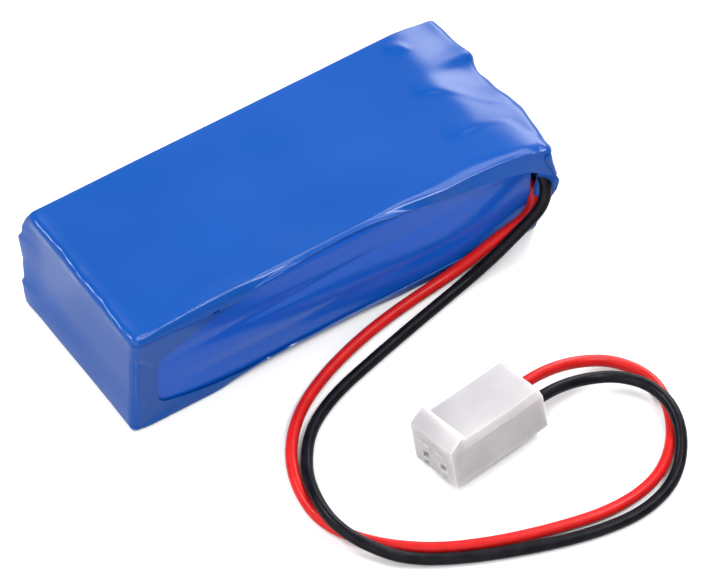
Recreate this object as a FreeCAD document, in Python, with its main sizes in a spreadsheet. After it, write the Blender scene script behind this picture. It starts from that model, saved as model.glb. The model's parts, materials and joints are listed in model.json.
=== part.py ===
import FreeCAD, Part
import math
import os

import Sketcher

# Rechargeable pack of three flat pouch cells in series, shrink-wrapped twice, with two free leads
# that end in a two-circuit plug.
# Frame: origin under the middle of the pack on the surface that it rests on, +X along the pack to
# the end where the leads come out, +Z up. The leads come out of the -Y side. Millimetres.

doc = FreeCAD.newDocument("battery_pack")

DIMENSIONS = [
    ("pack_length", 70.4, "outside of the outer sleeve, along X"),
    ("pack_width", 28.2, "outside of the outer sleeve, along Y"),
    ("pack_height", 20.4, "outside of the outer sleeve, along Z"),
    ("pack_edge", 0.5, "rounding of the outer sleeve's edges"),
    ("outer_film", 0.25, "thickness of the outer shrink sleeve"),
    ("inner_film", 0.2, "thickness of the inner shrink sleeve"),
    ("inner_sleeve_end", 32.2, "X where the inner sleeve ends, at the lead end"),
    ("droop_start", 25.6, "X where the top of the outer sleeve starts to fall"),
    ("droop_depth", 1.4, "how far the top has fallen at the lead end"),
    ("side_plate", 0.4, "fibre plate behind the cells' closed ends"),
    ("side_plate_margin", 0.55, "how much smaller that plate is than the room for it, all round"),
    ("window_start", 31.2, "from the pack's middle to the closed-end side of a side window"),
    ("window_floor", 2.4, "height of the rim below a side window, at the closed end"),
    ("window_low", 1.9, "the same rim at the lead end"),
    ("window_margin", 0.35, "film left between a side window and the lead end"),
    ("rim", 1.0, "rim above a side window, along the cells"),
    ("lip", 5.6, "rim above a side window, at the lead end"),
    ("lip_length", 8.65, "how far that broad part of the rim reaches along the pack"),
    ("cell_length", 60.0, "filled body of one pouch cell, along X"),
    ("cell_body_width", 26.4, "filled body of one pouch cell, along Y"),
    ("cell_thickness", 6.3, "filled body of one pouch cell, along Z"),
    ("cell_edge", 0.9, "rounding of the filled body"),
    ("seal_thickness", 0.35, "folded side seal of a cell"),
    ("seal_height", 4.6, "how high the folded side seal stands"),
    ("terrace_length", 3.4, "sealed ledge at the tab end of a cell"),
    ("terrace_thickness", 0.45, "the same ledge, through its two layers of laminate"),
    ("pad_thickness", 0.3, "double-sided pad between two cells"),
    ("pad_length", 50.0, "the same pad, along X"),
    ("pad_width", 20.0, "the same pad, along Y"),
    ("tab_width", 5.0, "metal tab of a cell"),
    ("tab_thickness", 0.1, "metal tab of a cell"),
    ("tab_offset", 7.0, "tab's distance from the pack's middle plane, along Y"),
    ("terrace_overlap", 1.0, "how far the ledge's layers reach into the filled body"),
    ("seal_overlap", 0.2, "the same for a folded side seal"),
    ("tab_reach", 2.9, "how far a bent tab lies along its weld plate"),
    ("tab_cover", 1.6, "length of a tab inside its sealing strip before the terrace's edge"),
    ("strip_width", 6.6, "sealing strip round a tab"),
    ("strip_thickness", 0.25, "sealing strip round a tab"),
    ("strip_proud", 0.8, "how far a sealing strip stands out of the terrace"),
    ("slotted_plate_gap", 0.25, "from the sealing strips to the slotted fibre plate"),
    ("tab_room", 0.25, "from the slotted fibre plate to the bent tabs"),
    ("fibre", 0.3, "thickness of the slotted fibre plate and the end cover"),
    ("weld_plate", 0.15, "nickel plate on the board that tabs are welded to"),
    ("weld_plate_width", 5.4, "the same plate, along Y"),
    ("weld_margin", 0.2, "how far the same plate reaches past the flat of a tab"),
    ("board_thickness", 0.8, "protection board"),
    ("board_width", 24.0, "protection board, along Y"),
    ("board_height", 17.2, "protection board, along Z"),
    ("lead_diameter", 1.8, "outside of a lead's insulation"),
    ("strand_diameter", 0.8, "bare stranded wire inside a lead"),
    ("plug_x", -2.95, "middle of the plug's mating face at its bottom edge"),
    ("plug_y", -43.81, "the same point, along Y"),
    ("plug_lift", 1.01, "the same point's height: the plug is held tipped by its leads"),
    ("plug_yaw", 6.2, "degrees"),
    ("plug_pitch", -2.0, "degrees"),
    ("plug_roll", -12.4, "degrees"),
    ("plug_length", 17.0, "plug housing, from the mating face to the wire side"),
    ("plug_width", 9.26, "plug housing, across its two circuits"),
    ("plug_height", 6.74, "plug housing, without the locking ledge"),
    ("ledge_height", 1.7, "locking ledge above the housing's top"),
    ("ledge_length", 2.66, "length of the ledge's ramp"),
    ("plug_chamfer", 0.8, "polarising chamfer on one long edge of the housing"),
    ("circuit_pitch", 3.96, "distance between the plug's two circuits"),
    ("circuit_height", 3.2, "height of the circuits in the housing"),
    ("cavity_width", 2.9, "cavity for a contact"),
    ("cavity_height", 3.3, "cavity for a contact"),
    ("notch_width", 1.2, "notch under each cavity at the mating face"),
    ("notch_height", 1.1, "the same notch, along the housing's height"),
    ("notch_depth", 1.6, "the same notch, from the mating face"),
    ("contact_size", 2.3, "square receptacle of a contact, outside"),
    ("contact_wall", 0.2, "sheet thickness of a contact"),
    ("contact_neck", 1.0, "strip that joins a contact's receptacle and crimps"),
    ("crimp_wall", 0.55, "rolled wall of the conductor crimp"),
    ("barrel_inset", 0.4, "from a crimp to the end of the strands or insulation in it"),
    ("contact_start", 1.2, "from the mating face to the contact"),
    ("receptacle_length", 6.5, "square receptacle of a contact"),
    ("barrel_start", 9.0, "from the mating face to the conductor crimp"),
    ("barrel_length", 1.9, "conductor crimp and insulation crimp, each"),
    ("lead_seat", 12.6, "from the mating face to the cut end of a lead's insulation"),
]

sheet = doc.addObject("Spreadsheet::Sheet", "Sizes")
for line, (alias, value, meaning) in enumerate(DIMENSIONS, start=1):
    sheet.set(f"A{line}", meaning)
    sheet.set(f"B{line}", str(value))
    sheet.setAlias(f"B{line}", alias)
doc.recompute()


class Size:
    """A length that knows its number and the sheet expression that drives it."""

    def __init__(self, number, text):
        self.number = number
        self.text = text

    def __add__(self, other):
        other = as_size(other)
        return Size(self.number + other.number, f"({self.text} + {other.text})")

    def __sub__(self, other):
        other = as_size(other)
        return Size(self.number - other.number, f"({self.text} - {other.text})")

    def __mul__(self, other):
        other = as_size(other)
        return Size(self.number * other.number, f"({self.text} * {other.text})")

    def __truediv__(self, other):
        other = as_size(other)
        return Size(self.number / other.number, f"({self.text} / {other.text})")

    def __neg__(self):
        return Size(-self.number, f"(-{self.text})")


def as_size(value):
    return value if isinstance(value, Size) else Size(float(value), f"{float(value)}")


def size(alias):
    """The sheet cell of that alias."""
    return Size(float(sheet.get(alias)), f"Sizes.{alias}")


def bind(thing, name, value):
    thing.setExpression(name, as_size(value).text)


pieces = {}


def keep(label, thing, place=None):
    """Registers a finished sub-part, and moves it to its place where it isn't built there."""
    thing.Label = label
    if place is not None:
        thing.Placement = place
    pieces[label] = thing


def box(label, x_span, y_span, z_span):
    """A box between three pairs of Sizes."""
    block = doc.addObject("Part::Box", label)
    for side, axis, (low, high) in zip(
        ("Length", "Width", "Height"), "xyz", (x_span, y_span, z_span)
    ):
        bind(block, side, as_size(high) - low)
        bind(block, f"Placement.Base.{axis}", low)
    return block


def cylinder_x(label, x_span, y, z, radius):
    """A round bar along X."""
    bar = doc.addObject("Part::Cylinder", label)
    bind(bar, "Radius", radius)
    bind(bar, "Height", as_size(x_span[1]) - x_span[0])
    bar.Placement.Rotation = FreeCAD.Rotation(FreeCAD.Vector(0, 1, 0), 90)
    for axis, value in zip("xyz", (x_span[0], y, z)):
        bind(bar, f"Placement.Base.{axis}", value)
    return bar


def fuse(label, solids):
    joined = doc.addObject("Part::MultiFuse", label)
    joined.Shapes = solids
    joined.Refine = True
    return joined


def cut(label, base, tool):
    rest = doc.addObject("Part::Cut", label)
    rest.Base = base
    rest.Tool = tool
    return rest


def group(label, solids):
    """Separate solids that share one node."""
    together = doc.addObject("Part::Compound", label)
    together.Links = solids
    return together


def new_body(label):
    return doc.addObject("PartDesign::Body", label)


def origin_plane(body, role):
    return next(plane for plane in body.Origin.OriginFeatures if plane.Role == role)


def pin_vertex(sketch, edge, across, up):
    """Ties the start of an edge to the sketch's origin with two sheet-driven distances."""
    for kind, value, axis in (("DistanceX", across, -2), ("DistanceY", up, -1)):
        value = as_size(value)
        if value.number == 0:
            sketch.addConstraint(Sketcher.Constraint("PointOnObject", edge, 1, axis))
            continue
        if value.number > 0:
            ends = (-1, 1, edge, 1)
        else:
            ends = (edge, 1, -1, 1)
            value = -value
        number = sketch.addConstraint(Sketcher.Constraint(kind, *ends, value.number))
        bind(sketch, f"Constraints[{number}]", value)


def sketch_outlines(body, name, role, outlines):
    """A sketch on one of the body's origin planes, with closed outlines of straight edges."""
    sketch = body.newObject("Sketcher::SketchObject", name)
    sketch.AttachmentSupport = [(origin_plane(body, role), "")]
    sketch.MapMode = "FlatFace"
    for outline in outlines:
        first = sketch.GeometryCount
        corners = [FreeCAD.Vector(as_size(a).number, as_size(b).number, 0) for a, b in outline]
        for start, end in zip(corners, corners[1:] + corners[:1]):
            sketch.addGeometry(Part.LineSegment(start, end))
        for place, (across, up) in enumerate(outline):
            before = first + (place - 1) % len(outline)
            sketch.addConstraint(
                Sketcher.Constraint("Coincident", before, 2, first + place, 1)
            )
            pin_vertex(sketch, first + place, across, up)
    return sketch


def rectangle(across, up):
    return [(across[0], up[0]), (across[1], up[0]), (across[1], up[1]), (across[0], up[1])]


def pad(body, sketch, depth):
    """Adds material half to each side of the sketch's plane."""
    feature = body.newObject("PartDesign::Pad", f"{sketch.Name}_pad")
    feature.Profile = sketch
    feature.SideType = "Symmetric"
    bind(feature, "Length", depth)
    doc.recompute()
    return feature


def pocket(body, sketch, depth):
    """Takes material half to each side of the sketch's plane, and makes sure that it did."""
    before = body.Shape.Volume
    feature = body.newObject("PartDesign::Pocket", f"{sketch.Name}_pocket")
    feature.Profile = sketch
    feature.SideType = "Symmetric"
    bind(feature, "Length", depth)
    doc.recompute()
    if not body.Shape.Volume < before:
        raise RuntimeError(f"{sketch.Name} cuts nothing")
    return feature


def edge_names(feature, chosen):
    return [
        f"Edge{number}"
        for number, edge in enumerate(feature.Shape.Edges, start=1)
        if chosen(edge)
    ]


def round_edges(body, feature, radius, chosen):
    fillet = body.newObject("PartDesign::Fillet", f"{feature.Name}_fillet")
    fillet.Base = (feature, edge_names(feature, chosen))
    bind(fillet, "Radius", radius)
    doc.recompute()
    return fillet


def along(edge, axis):
    start, end = edge.Vertexes[0].Point, edge.Vertexes[-1].Point
    return abs((end - start).normalize()[axis]) > 0.99


# ---------------------------------------------------------------- the wrapped block

half_length = size("pack_length") / 2
half_width = size("pack_width") / 2
height = size("pack_height")
outer_film = size("outer_film")
inner_film = size("inner_film")
cell_start = -half_length + outer_film + size("side_plate")
cell_end = cell_start + size("cell_length")
terrace_end = cell_end + size("terrace_length")
strip_end = terrace_end + size("strip_proud")
slotted_plate_start = strip_end + size("slotted_plate_gap")
slotted_plate_end = slotted_plate_start + size("fibre")
weld_face = slotted_plate_end + size("tab_room") + size("tab_thickness")
board_start = weld_face + size("weld_plate")
board_end = board_start + size("board_thickness")
cell_pitch = size("cell_thickness") + size("pad_thickness")
lowest_cell = outer_film + inner_film + size("cell_thickness") / 2
cell_heights = {
    "lower": lowest_cell,
    "middle": lowest_cell + cell_pitch,
    "upper": lowest_cell + cell_pitch * 2,
}
board_low = height / 2 - size("board_height") / 2
board_high = height / 2 + size("board_height") / 2


def side_outline(inset, start, end):
    """Side view of the block or of its hollow, with a top that falls to the lead end."""
    low, high = inset, height - inset
    falling = (end - size("droop_start")) / (half_length - size("droop_start"))
    return [
        (start, low),
        (end, low),
        (end, high - size("droop_depth") * falling),
        (size("droop_start"), high),
        (start, high),
    ]


def film_block(body, name, inset, start, end):
    """The solid that a film goes round."""
    outline = side_outline(inset, start, end)
    sketch = sketch_outlines(body, name, "XZ_Plane", [outline])
    return pad(body, sketch, size("pack_width") - inset * 2)


def hollow_out(body, name, inset, start, end):
    """Leaves only the film's thickness."""
    outline = side_outline(inset, start, end)
    sketch = sketch_outlines(body, name, "XZ_Plane", [outline])
    pocket(body, sketch, size("pack_width") - inset * 2)


# The outline of a side window where it isn't set by the sheet: the cut corner at the closed end, the
# rise of the lip along its length, and where the narrow rim starts and ends.
CORNER_CUT = 1.8
LIP_RISE = 1.6
RIM_FROM = -14.0
RIM_TO = 7.0
WINDOW_SHOULDER = 7.0


def make_outer_sleeve():
    """A tube of film round the top, both ends and the bottom, open at the two sides."""
    body = new_body("outer_sleeve")
    block = film_block(body, "outer_block", as_size(0), -half_length, half_length)
    round_edges(body, block, size("pack_edge"), lambda edge: True)
    hollow_out(
        body, "outer_hollow", outer_film, -half_length + outer_film, half_length - outer_film
    )
    # The rim that has shrunk on to each side face: broad above the lead exit, narrow below.
    start, end = -size("window_start"), half_length - size("window_margin")
    rim = height - size("rim")
    lip = height - size("lip")
    window = [
        (start, size("window_floor") + CORNER_CUT),
        (start + CORNER_CUT, size("window_floor")),
        (end, size("window_low")),
        (end, lip),
        (end - size("lip_length"), lip + LIP_RISE),
        (as_size(RIM_TO), rim),
        (as_size(RIM_FROM), rim),
        (start, height - WINDOW_SHOULDER),
    ]
    opening = sketch_outlines(body, "side_window", "XZ_Plane", [window])
    pocket(body, opening, size("pack_width") + 2)
    keep("outer_sleeve", body)


def make_inner_sleeve():
    """A tube of film along the pack, open at both ends."""
    body = new_body("inner_sleeve")
    start, end = -half_length + outer_film, size("inner_sleeve_end")
    film_block(body, "inner_block", outer_film, start, end)
    hollow_out(body, "inner_hollow", outer_film + inner_film, start - 1, end + 1)
    keep("inner_sleeve", body)


def tab_row(name):
    """The Y of a cell's positive and negative tab: every other cell is turned over."""
    offset = size("tab_offset")
    turned = name == "middle"
    return {
        "positive": -offset if turned else offset,
        "negative": offset if turned else -offset,
    }


def make_cell(name):
    """One sealed pouch: filled body, folded side seals and the ledge that its tabs come out of."""
    body = new_body(f"cell_{name}")
    half_body = size("cell_body_width") / 2
    outline = sketch_outlines(
        body,
        f"{name}_filled",
        "XY_Plane",
        [rectangle((cell_start, cell_end), (-half_body, half_body))],
    )
    filled = pad(body, outline, size("cell_thickness"))
    round_edges(body, filled, size("cell_edge"), lambda edge: along(edge, 0) or along(edge, 1))
    ledge = sketch_outlines(
        body,
        f"{name}_ledge",
        "XY_Plane",
        [rectangle((cell_end - size("terrace_overlap"), terrace_end), (-half_body, half_body))],
    )
    pad(body, ledge, size("terrace_thickness"))
    seal_in = half_body - size("seal_overlap")
    seal_out = half_body + size("seal_thickness")
    both_seals = [
        rectangle((cell_start, cell_end), (seal_in, seal_out)),
        rectangle((cell_start, cell_end), (-seal_out, -seal_in)),
    ]
    seals = sketch_outlines(body, f"{name}_side_seals", "XY_Plane", both_seals)
    pad(body, seals, size("seal_height"))
    slots = [
        rectangle(
            (terrace_end - size("tab_cover"), terrace_end + 1.0),
            (y - size("strip_width") / 2, y + size("strip_width") / 2),
        )
        for y in tab_row(name).values()
    ]
    pocket(
        body,
        sketch_outlines(body, f"{name}_tab_slots", "XY_Plane", slots),
        size("strip_thickness"),
    )
    bind(body, "Placement.Base.z", cell_heights[name])
    keep(f"cell_{name}", body)


def make_tab(cell, pole, y, rise):
    """A flat tab, straight out of the cell and then bent up (rise 1) or down (rise -1)."""
    label = f"tab_{cell}_{pole}"
    half_sheet = size("tab_thickness") / 2
    start = terrace_end - size("tab_cover")
    bend = weld_face - size("tab_thickness")
    tip = size("tab_reach") * rise
    outside, inside = half_sheet * -rise, half_sheet * rise
    profile = [
        (start, outside),
        (weld_face, outside),
        (weld_face, tip),
        (bend, tip),
        (bend, inside),
        (start, inside),
    ]
    body = new_body(label)
    pad(body, sketch_outlines(body, f"{label}_side", "XZ_Plane", [profile]), size("tab_width"))
    bind(body, "Placement.Base.y", y)
    bind(body, "Placement.Base.z", cell_heights[cell])
    keep(label, body)


def make_tab_seal(cell, pole, y):
    """The strip of sealing film round a tab where it passes through the pouch's edge."""
    label = f"tab_seal_{cell}_{pole}"
    z = cell_heights[cell]
    start = terrace_end - size("tab_cover")

    def slab(name, extra, width, thickness):
        return box(
            name,
            (start - extra, strip_end + extra),
            (y - width / 2, y + width / 2),
            (z - thickness / 2, z + thickness / 2),
        )

    strip = slab(f"{label}_strip", as_size(0), size("strip_width"), size("strip_thickness"))
    slit = slab(f"{label}_slit", as_size(1), size("tab_width"), size("tab_thickness"))
    keep(label, cut(label, strip, slit))


def make_cells():
    for name in cell_heights:
        make_cell(name)
    bends = {
        ("lower", "negative"): 1,
        ("lower", "positive"): 1,
        ("middle", "negative"): -1,
        ("middle", "positive"): 1,
        ("upper", "negative"): -1,
        ("upper", "positive"): -1,
    }
    for (cell, pole), rise in bends.items():
        y = tab_row(cell)[pole]
        make_tab(cell, pole, y, rise)
        make_tab_seal(cell, pole, y)


def make_pads():
    """Double-sided pads that hold the cells together."""
    middle = (cell_start + cell_end) / 2
    for name, below in (("lower", "lower"), ("upper", "middle")):
        base = cell_heights[below] + size("cell_thickness") / 2
        label = f"adhesive_pad_{name}"
        sides = box(
            label,
            (middle - size("pad_length") / 2, middle + size("pad_length") / 2),
            (-size("pad_width") / 2, size("pad_width") / 2),
            (base, base + size("pad_thickness")),
        )
        keep(label, sides)


# ---------------------------------------------------------------- the tab end


# Play round the plates: beside them, under them, over them, round a tab's slit, and between the end
# cover and the film; and the gap that lets the leads past the end cover.
PLATE_MARGIN = 0.5
PLATE_LIFT = 0.4
SLOTTED_PLATE_ROOM = 1.1
COVER_ROOM = 1.4
SLIT_ROOM = 0.3
COVER_GAP = 0.1
ROOM_FOR_LEADS = 3.6


def make_plates():
    """Fibre plates: behind the closed ends, over the tabs, and over the finished board."""
    inside = half_width - outer_film - inner_film
    floor = outer_film + inner_film
    roof = height - floor
    closed_end = box(
        "end_plate",
        (cell_start - size("side_plate"), cell_start),
        (-inside + size("side_plate_margin"), inside - size("side_plate_margin")),
        (floor + size("side_plate_margin"), roof - size("side_plate_margin")),
    )
    keep("end_plate", closed_end)

    plate = box(
        "slotted_plate_blank",
        (slotted_plate_start, slotted_plate_end),
        (-inside + PLATE_MARGIN, inside - PLATE_MARGIN),
        (floor + PLATE_LIFT, roof - SLOTTED_PLATE_ROOM),
    )
    slits = [
        box(
            f"slit_{cell}_{pole}",
            (slotted_plate_start - 1, slotted_plate_end + 1),
            (y - size("tab_width") / 2 - SLIT_ROOM, y + size("tab_width") / 2 + SLIT_ROOM),
            (cell_heights[cell] - SLIT_ROOM, cell_heights[cell] + SLIT_ROOM),
        )
        for cell in cell_heights
        for pole, y in tab_row(cell).items()
    ]
    keep("slotted_plate", cut("slotted_plate", plate, fuse("slotted_plate_slits", slits)))

    cover_end = half_length - outer_film - COVER_GAP
    cover = box(
        "board_cover",
        (cover_end - size("fibre"), cover_end),
        (-inside + ROOM_FOR_LEADS, inside - PLATE_MARGIN),
        (floor + PLATE_LIFT, roof - size("droop_depth") - COVER_ROOM),
    )
    keep("board_cover", cover)


# How far a weld plate reaches past the tip of a bent tab.
WELD_REACH = 0.1


def make_board():
    half_board = size("board_width") / 2
    board = box(
        "protection_board",
        (board_start, board_end),
        (-half_board, half_board),
        (board_low, board_high),
    )
    keep("protection_board", board)

    # One weld plate for each end of the string and for each join between two cells.
    lower, middle, upper = (cell_heights[name] for name in ("lower", "middle", "upper"))
    offset = size("tab_offset")
    margin = size("weld_margin")
    reach = size("tab_reach") + WELD_REACH
    places = {
        "weld_plate_negative": (-offset, lower - margin, lower + reach),
        "weld_plate_first_join": (offset, lower - margin, middle + margin),
        "weld_plate_second_join": (-offset, middle - margin, upper + margin),
        "weld_plate_positive": (offset, upper - reach, upper + margin),
    }
    for label, (y, low, high) in places.items():
        plate = box(
            label,
            (board_start - size("weld_plate"), board_start),
            (y - size("weld_plate_width") / 2, y + size("weld_plate_width") / 2),
            (low, high),
        )
        keep(label, plate)


def chip(name, y, z, across, up, tall):
    """A component body flat on the board's outer face."""
    return box(
        name,
        (board_end, board_end + tall),
        (as_size(y - across / 2), as_size(y + across / 2)),
        (as_size(z - up / 2), as_size(z + up / 2)),
    )


def leaded_chip(label, y, z, across, up, tall, legs):
    """A moulded package with a row of legs along each side."""
    leg_width, leg_reach, leg_height = 0.35, 0.8, 0.35
    pitch = across / legs
    solids = [chip(f"{label}_case", y, z, across, up, tall)]
    for number in range(legs):
        leg_y = y - across / 2 + pitch * (number + 0.5)
        for side in (-1, 1):
            leg_z = z + side * (up / 2 + leg_reach / 2)
            solids.append(
                chip(f"{label}_leg_{number}_{side}", leg_y, leg_z, leg_width, leg_reach, leg_height)
            )
    keep(label, fuse(label, solids))


# Middle along Y and Z, size along Y and Z, height above the board.
LEADED_CHIPS = {
    "charge_switch": (7.6, 14.2, 4.4, 3.0, 0.9),
    "discharge_switch": (7.6, 8.6, 4.4, 3.0, 0.9),
    "protection_chip": (0.6, 4.4, 3.0, 2.8, 0.9),
}
LEGS_PER_SIDE = 4
CHIP_ROWS = {
    "resistors": [
        (-3.4, 3.4, 0.8, 1.6, 0.45),
        (-5.8, 3.4, 0.8, 1.6, 0.45),
        (-8.2, 3.4, 0.8, 1.6, 0.45),
    ],
    "capacitors": [(6.0, 3.6, 0.8, 1.6, 0.7), (8.2, 3.6, 0.8, 1.6, 0.7)],
    "sense_resistors": [(1.2, 9.4, 3.2, 1.6, 0.5), (1.2, 13.4, 3.2, 1.6, 0.5)],
}


def make_components():
    for label, place in LEADED_CHIPS.items():
        leaded_chip(label, *place, LEGS_PER_SIDE)
    for label, places in CHIP_ROWS.items():
        row = [chip(f"{label}_{number}", *place) for number, place in enumerate(places)]
        keep(label, group(label, row))


# ---------------------------------------------------------------- the leads

LEAD_ROUTES = {
    "black": [
        (32.4, -4.6, 16.6),
        (32.6, -8.4, 15.9),
        (33.3, -11.8, 14.7),
        (34.3, -15.4, 12.9),
        (33.0, -17.2, 9.6),
        (29.4, -17.1, 6.3),
        (25.0, -17.0, 3.0),
        (19.0, -17.5, 0.9),
        (10.0, -19.6, 0.9),
        (0.5, -22.0, 0.9),
        (-7.5, -24.2, 0.9),
        (-14.0, -27.6, 0.9),
        (-18.4, -33.2, 1.2),
        (-20.8, -39.2, 2.8),
        (-21.3, -45.0, 3.1),
        (-19.1, -50.5, 2.6),
        (-15.0, -54.5, 1.1),
        (-8.5, -58.3, 0.9),
        (0.5, -62.0, 0.9),
        (9.5, -64.7, 0.9),
        (18.0, -65.6, 0.9),
        (25.0, -63.5, 1.1),
        (29.3, -59.0, 2.5),
        (31.4, -53.6, 3.0),
        (30.9, -48.3, 2.8),
        (27.9, -44.6, 2.8),
        (23.9, -42.9, 3.2),
        (19.3, -42.6, 4.4),
    ],
    "red": [
        (32.4, -4.6, 12.2),
        (32.7, -8.4, 11.8),
        (33.4, -11.6, 10.9),
        (33.4, -14.3, 9.1),
        (31.3, -15.3, 6.6),
        (27.4, -15.1, 4.3),
        (22.6, -15.0, 2.1),
        (17.0, -15.2, 0.9),
        (9.0, -16.2, 0.9),
        (1.5, -17.7, 0.9),
        (-6.5, -20.3, 0.9),
        (-13.4, -23.9, 0.9),
        (-18.6, -29.2, 0.9),
        (-21.4, -35.6, 0.9),
        (-21.8, -42.4, 0.9),
        (-18.0, -48.9, 0.9),
        (-11.5, -54.5, 0.9),
        (-3.5, -58.3, 0.9),
        (5.5, -61.1, 0.9),
        (14.5, -62.9, 0.9),
        (22.5, -62.0, 0.9),
        (28.3, -58.0, 0.9),
        (32.0, -52.0, 0.9),
        (32.8, -46.0, 0.9),
        (29.7, -41.1, 1.4),
        (24.9, -39.0, 2.3),
        (19.6, -38.7, 3.7),
    ],
}
CIRCUIT_SIDE = {"black": -1, "red": 1}
SHARE_OF_RUN = 0.45
STRAIGHT_OUT_OF_PLUG = 0.6


def value_of(alias):
    return size(alias).number


plug_place = FreeCAD.Placement(
    FreeCAD.Vector(value_of("plug_x"), value_of("plug_y"), value_of("plug_lift")),
    FreeCAD.Rotation(value_of("plug_yaw"), value_of("plug_pitch"), value_of("plug_roll")),
)


def in_plug(x, colour):
    """A point on a circuit's centre line, x from the mating face."""
    y = CIRCUIT_SIDE[colour] * value_of("circuit_pitch") / 2
    return plug_place.multVec(FreeCAD.Vector(x, y, value_of("circuit_height")))


def route_points(colour):
    """The whole route: from the board, over the surface, and straight into the plug."""
    free = [FreeCAD.Vector(*point) for point in LEAD_ROUTES[colour]]
    plug_mouth = in_plug(value_of("plug_length") + STRAIGHT_OUT_OF_PLUG, colour)
    return free + [plug_mouth, in_plug(value_of("lead_seat"), colour)]


def rounded_path(name, points):
    """Straight runs joined by tangent arcs, each as large as its two runs allow."""
    edges = []
    radii = []
    start = points[0]
    for before, corner, after in zip(points, points[1:], points[2:]):
        run_in, run_out = corner - before, after - corner
        trim = SHARE_OF_RUN * min(run_in.Length, run_out.Length)
        way_in = FreeCAD.Vector(run_in).normalize()
        way_out = FreeCAD.Vector(run_out).normalize()
        half_turn = way_in.getAngle(way_out) / 2
        radius = trim / math.tan(half_turn)
        arc_start = corner - way_in * trim
        arc_end = corner + way_out * trim
        to_centre = (way_out - way_in).normalize()
        arc_middle = corner + to_centre * (radius / math.cos(half_turn) - radius)
        edges.append(Part.LineSegment(start, arc_start).toShape())
        edges.append(Part.Arc(arc_start, arc_middle, arc_end).toShape())
        radii.append(radius)
        start = arc_end
    edges.append(Part.LineSegment(start, points[-1]).toShape())
    print(f"{name} radii mm:", " ".join(f"{radius:.1f}" for radius in radii))
    return Part.Wire(edges)


def path_start(path):
    """The first point of a path and the direction in which it leaves."""
    first = path.Edges[0]
    return first.valueAt(first.FirstParameter), first.tangentAt(first.FirstParameter)


def round_sweep(path, diameter):
    """A solid round bar along a path."""
    start, way_in = path_start(path)
    section = Part.Wire(Part.makeCircle(diameter / 2, start, way_in))
    return path.makePipeShell([section], True, False)


def make_lead(colour):
    path = rounded_path(f"lead_{colour}", route_points(colour))
    diameter = value_of("lead_diameter")
    bar = round_sweep(path, diameter)
    expected = math.pi * diameter**2 / 4 * path.Length
    print(f"lead_{colour} length {path.Length:.1f}, volume {bar.Volume:.1f} against {expected:.1f}")
    if abs(bar.Volume - expected) > 0.01 * expected:
        raise RuntimeError(f"lead_{colour} has the wrong volume")
    lead = doc.addObject("Part::Feature", f"lead_{colour}")
    lead.Shape = bar
    keep(f"lead_{colour}", lead)
    return path


# A soldered joint: bare strands, and a drop of solder that is wide on the board and narrow on top.
BARE_LENGTH = 2.2
JOINT_SHIFT = 0.3
JOINT_FOOT = 1.5
JOINT_TOP = 0.5
JOINT_COVER = 0.3


def make_board_end(colour, path):
    """The stripped strands at the board and the solder that holds them."""
    start, way_in = path_start(path)
    way_back = way_in * -1
    tip = start + way_back * BARE_LENGTH
    strand = doc.addObject("Part::Feature", f"strands_{colour}")
    strand.Shape = Part.makeCylinder(value_of("strand_diameter") / 2, BARE_LENGTH, start, way_back)
    keep(f"strands_{colour}", strand)

    board_face = board_end.number
    centre = (start + tip) / 2 + way_back * JOINT_SHIFT
    foot = FreeCAD.Vector(board_face, centre.y, centre.z)
    tall = tip.x + JOINT_COVER - board_face
    drop = Part.makeCone(JOINT_FOOT, JOINT_TOP, tall, foot, FreeCAD.Vector(1, 0, 0))
    solder = doc.addObject("Part::Feature", f"solder_{colour}")
    solder.Shape = drop.cut(strand.Shape).cut(pieces[f"lead_{colour}"].Shape)
    keep(f"solder_{colour}", solder)


# ---------------------------------------------------------------- the plug


def make_housing():
    """Nylon housing: two through cavities, a ramped locking ledge and one polarising chamfer."""
    body = new_body("connector_housing")
    length, top = size("plug_length"), size("plug_height")
    profile = [
        (as_size(0), as_size(0)),
        (length, as_size(0)),
        (length, top),
        (size("ledge_length"), top),
        (size("ledge_length"), top + size("ledge_height")),
        (as_size(0), top),
    ]
    block = pad(
        body,
        sketch_outlines(body, "housing_side", "XZ_Plane", [profile]),
        size("plug_width"),
    )
    edge_height = top.number

    def polarising_edge(edge):
        centre = edge.CenterOfMass
        return along(edge, 0) and centre.y < 0 and abs(centre.z - edge_height) < 0.01

    bevel = body.newObject("PartDesign::Chamfer", "polarising_chamfer")
    bevel.Base = (block, edge_names(block, polarising_edge))
    bind(bevel, "Size", size("plug_chamfer"))
    doc.recompute()

    half_pitch = size("circuit_pitch") / 2
    half_cavity = size("cavity_width") / 2
    middle = size("circuit_height")
    cavities = [
        rectangle(
            (centre - half_cavity, centre + half_cavity),
            (middle - size("cavity_height") / 2, middle + size("cavity_height") / 2),
        )
        for centre in (half_pitch, -half_pitch)
    ]
    pocket(body, sketch_outlines(body, "cavities", "YZ_Plane", cavities), length * 2 + 2)
    half_notch = size("notch_width") / 2
    notches = [
        rectangle((centre - half_notch, centre + half_notch), (as_size(-1), size("notch_height")))
        for centre in (half_pitch, -half_pitch)
    ]
    pocket(body, sketch_outlines(body, "notches", "YZ_Plane", notches), size("notch_depth") * 2)
    keep("connector_housing", body, plug_place)


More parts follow.
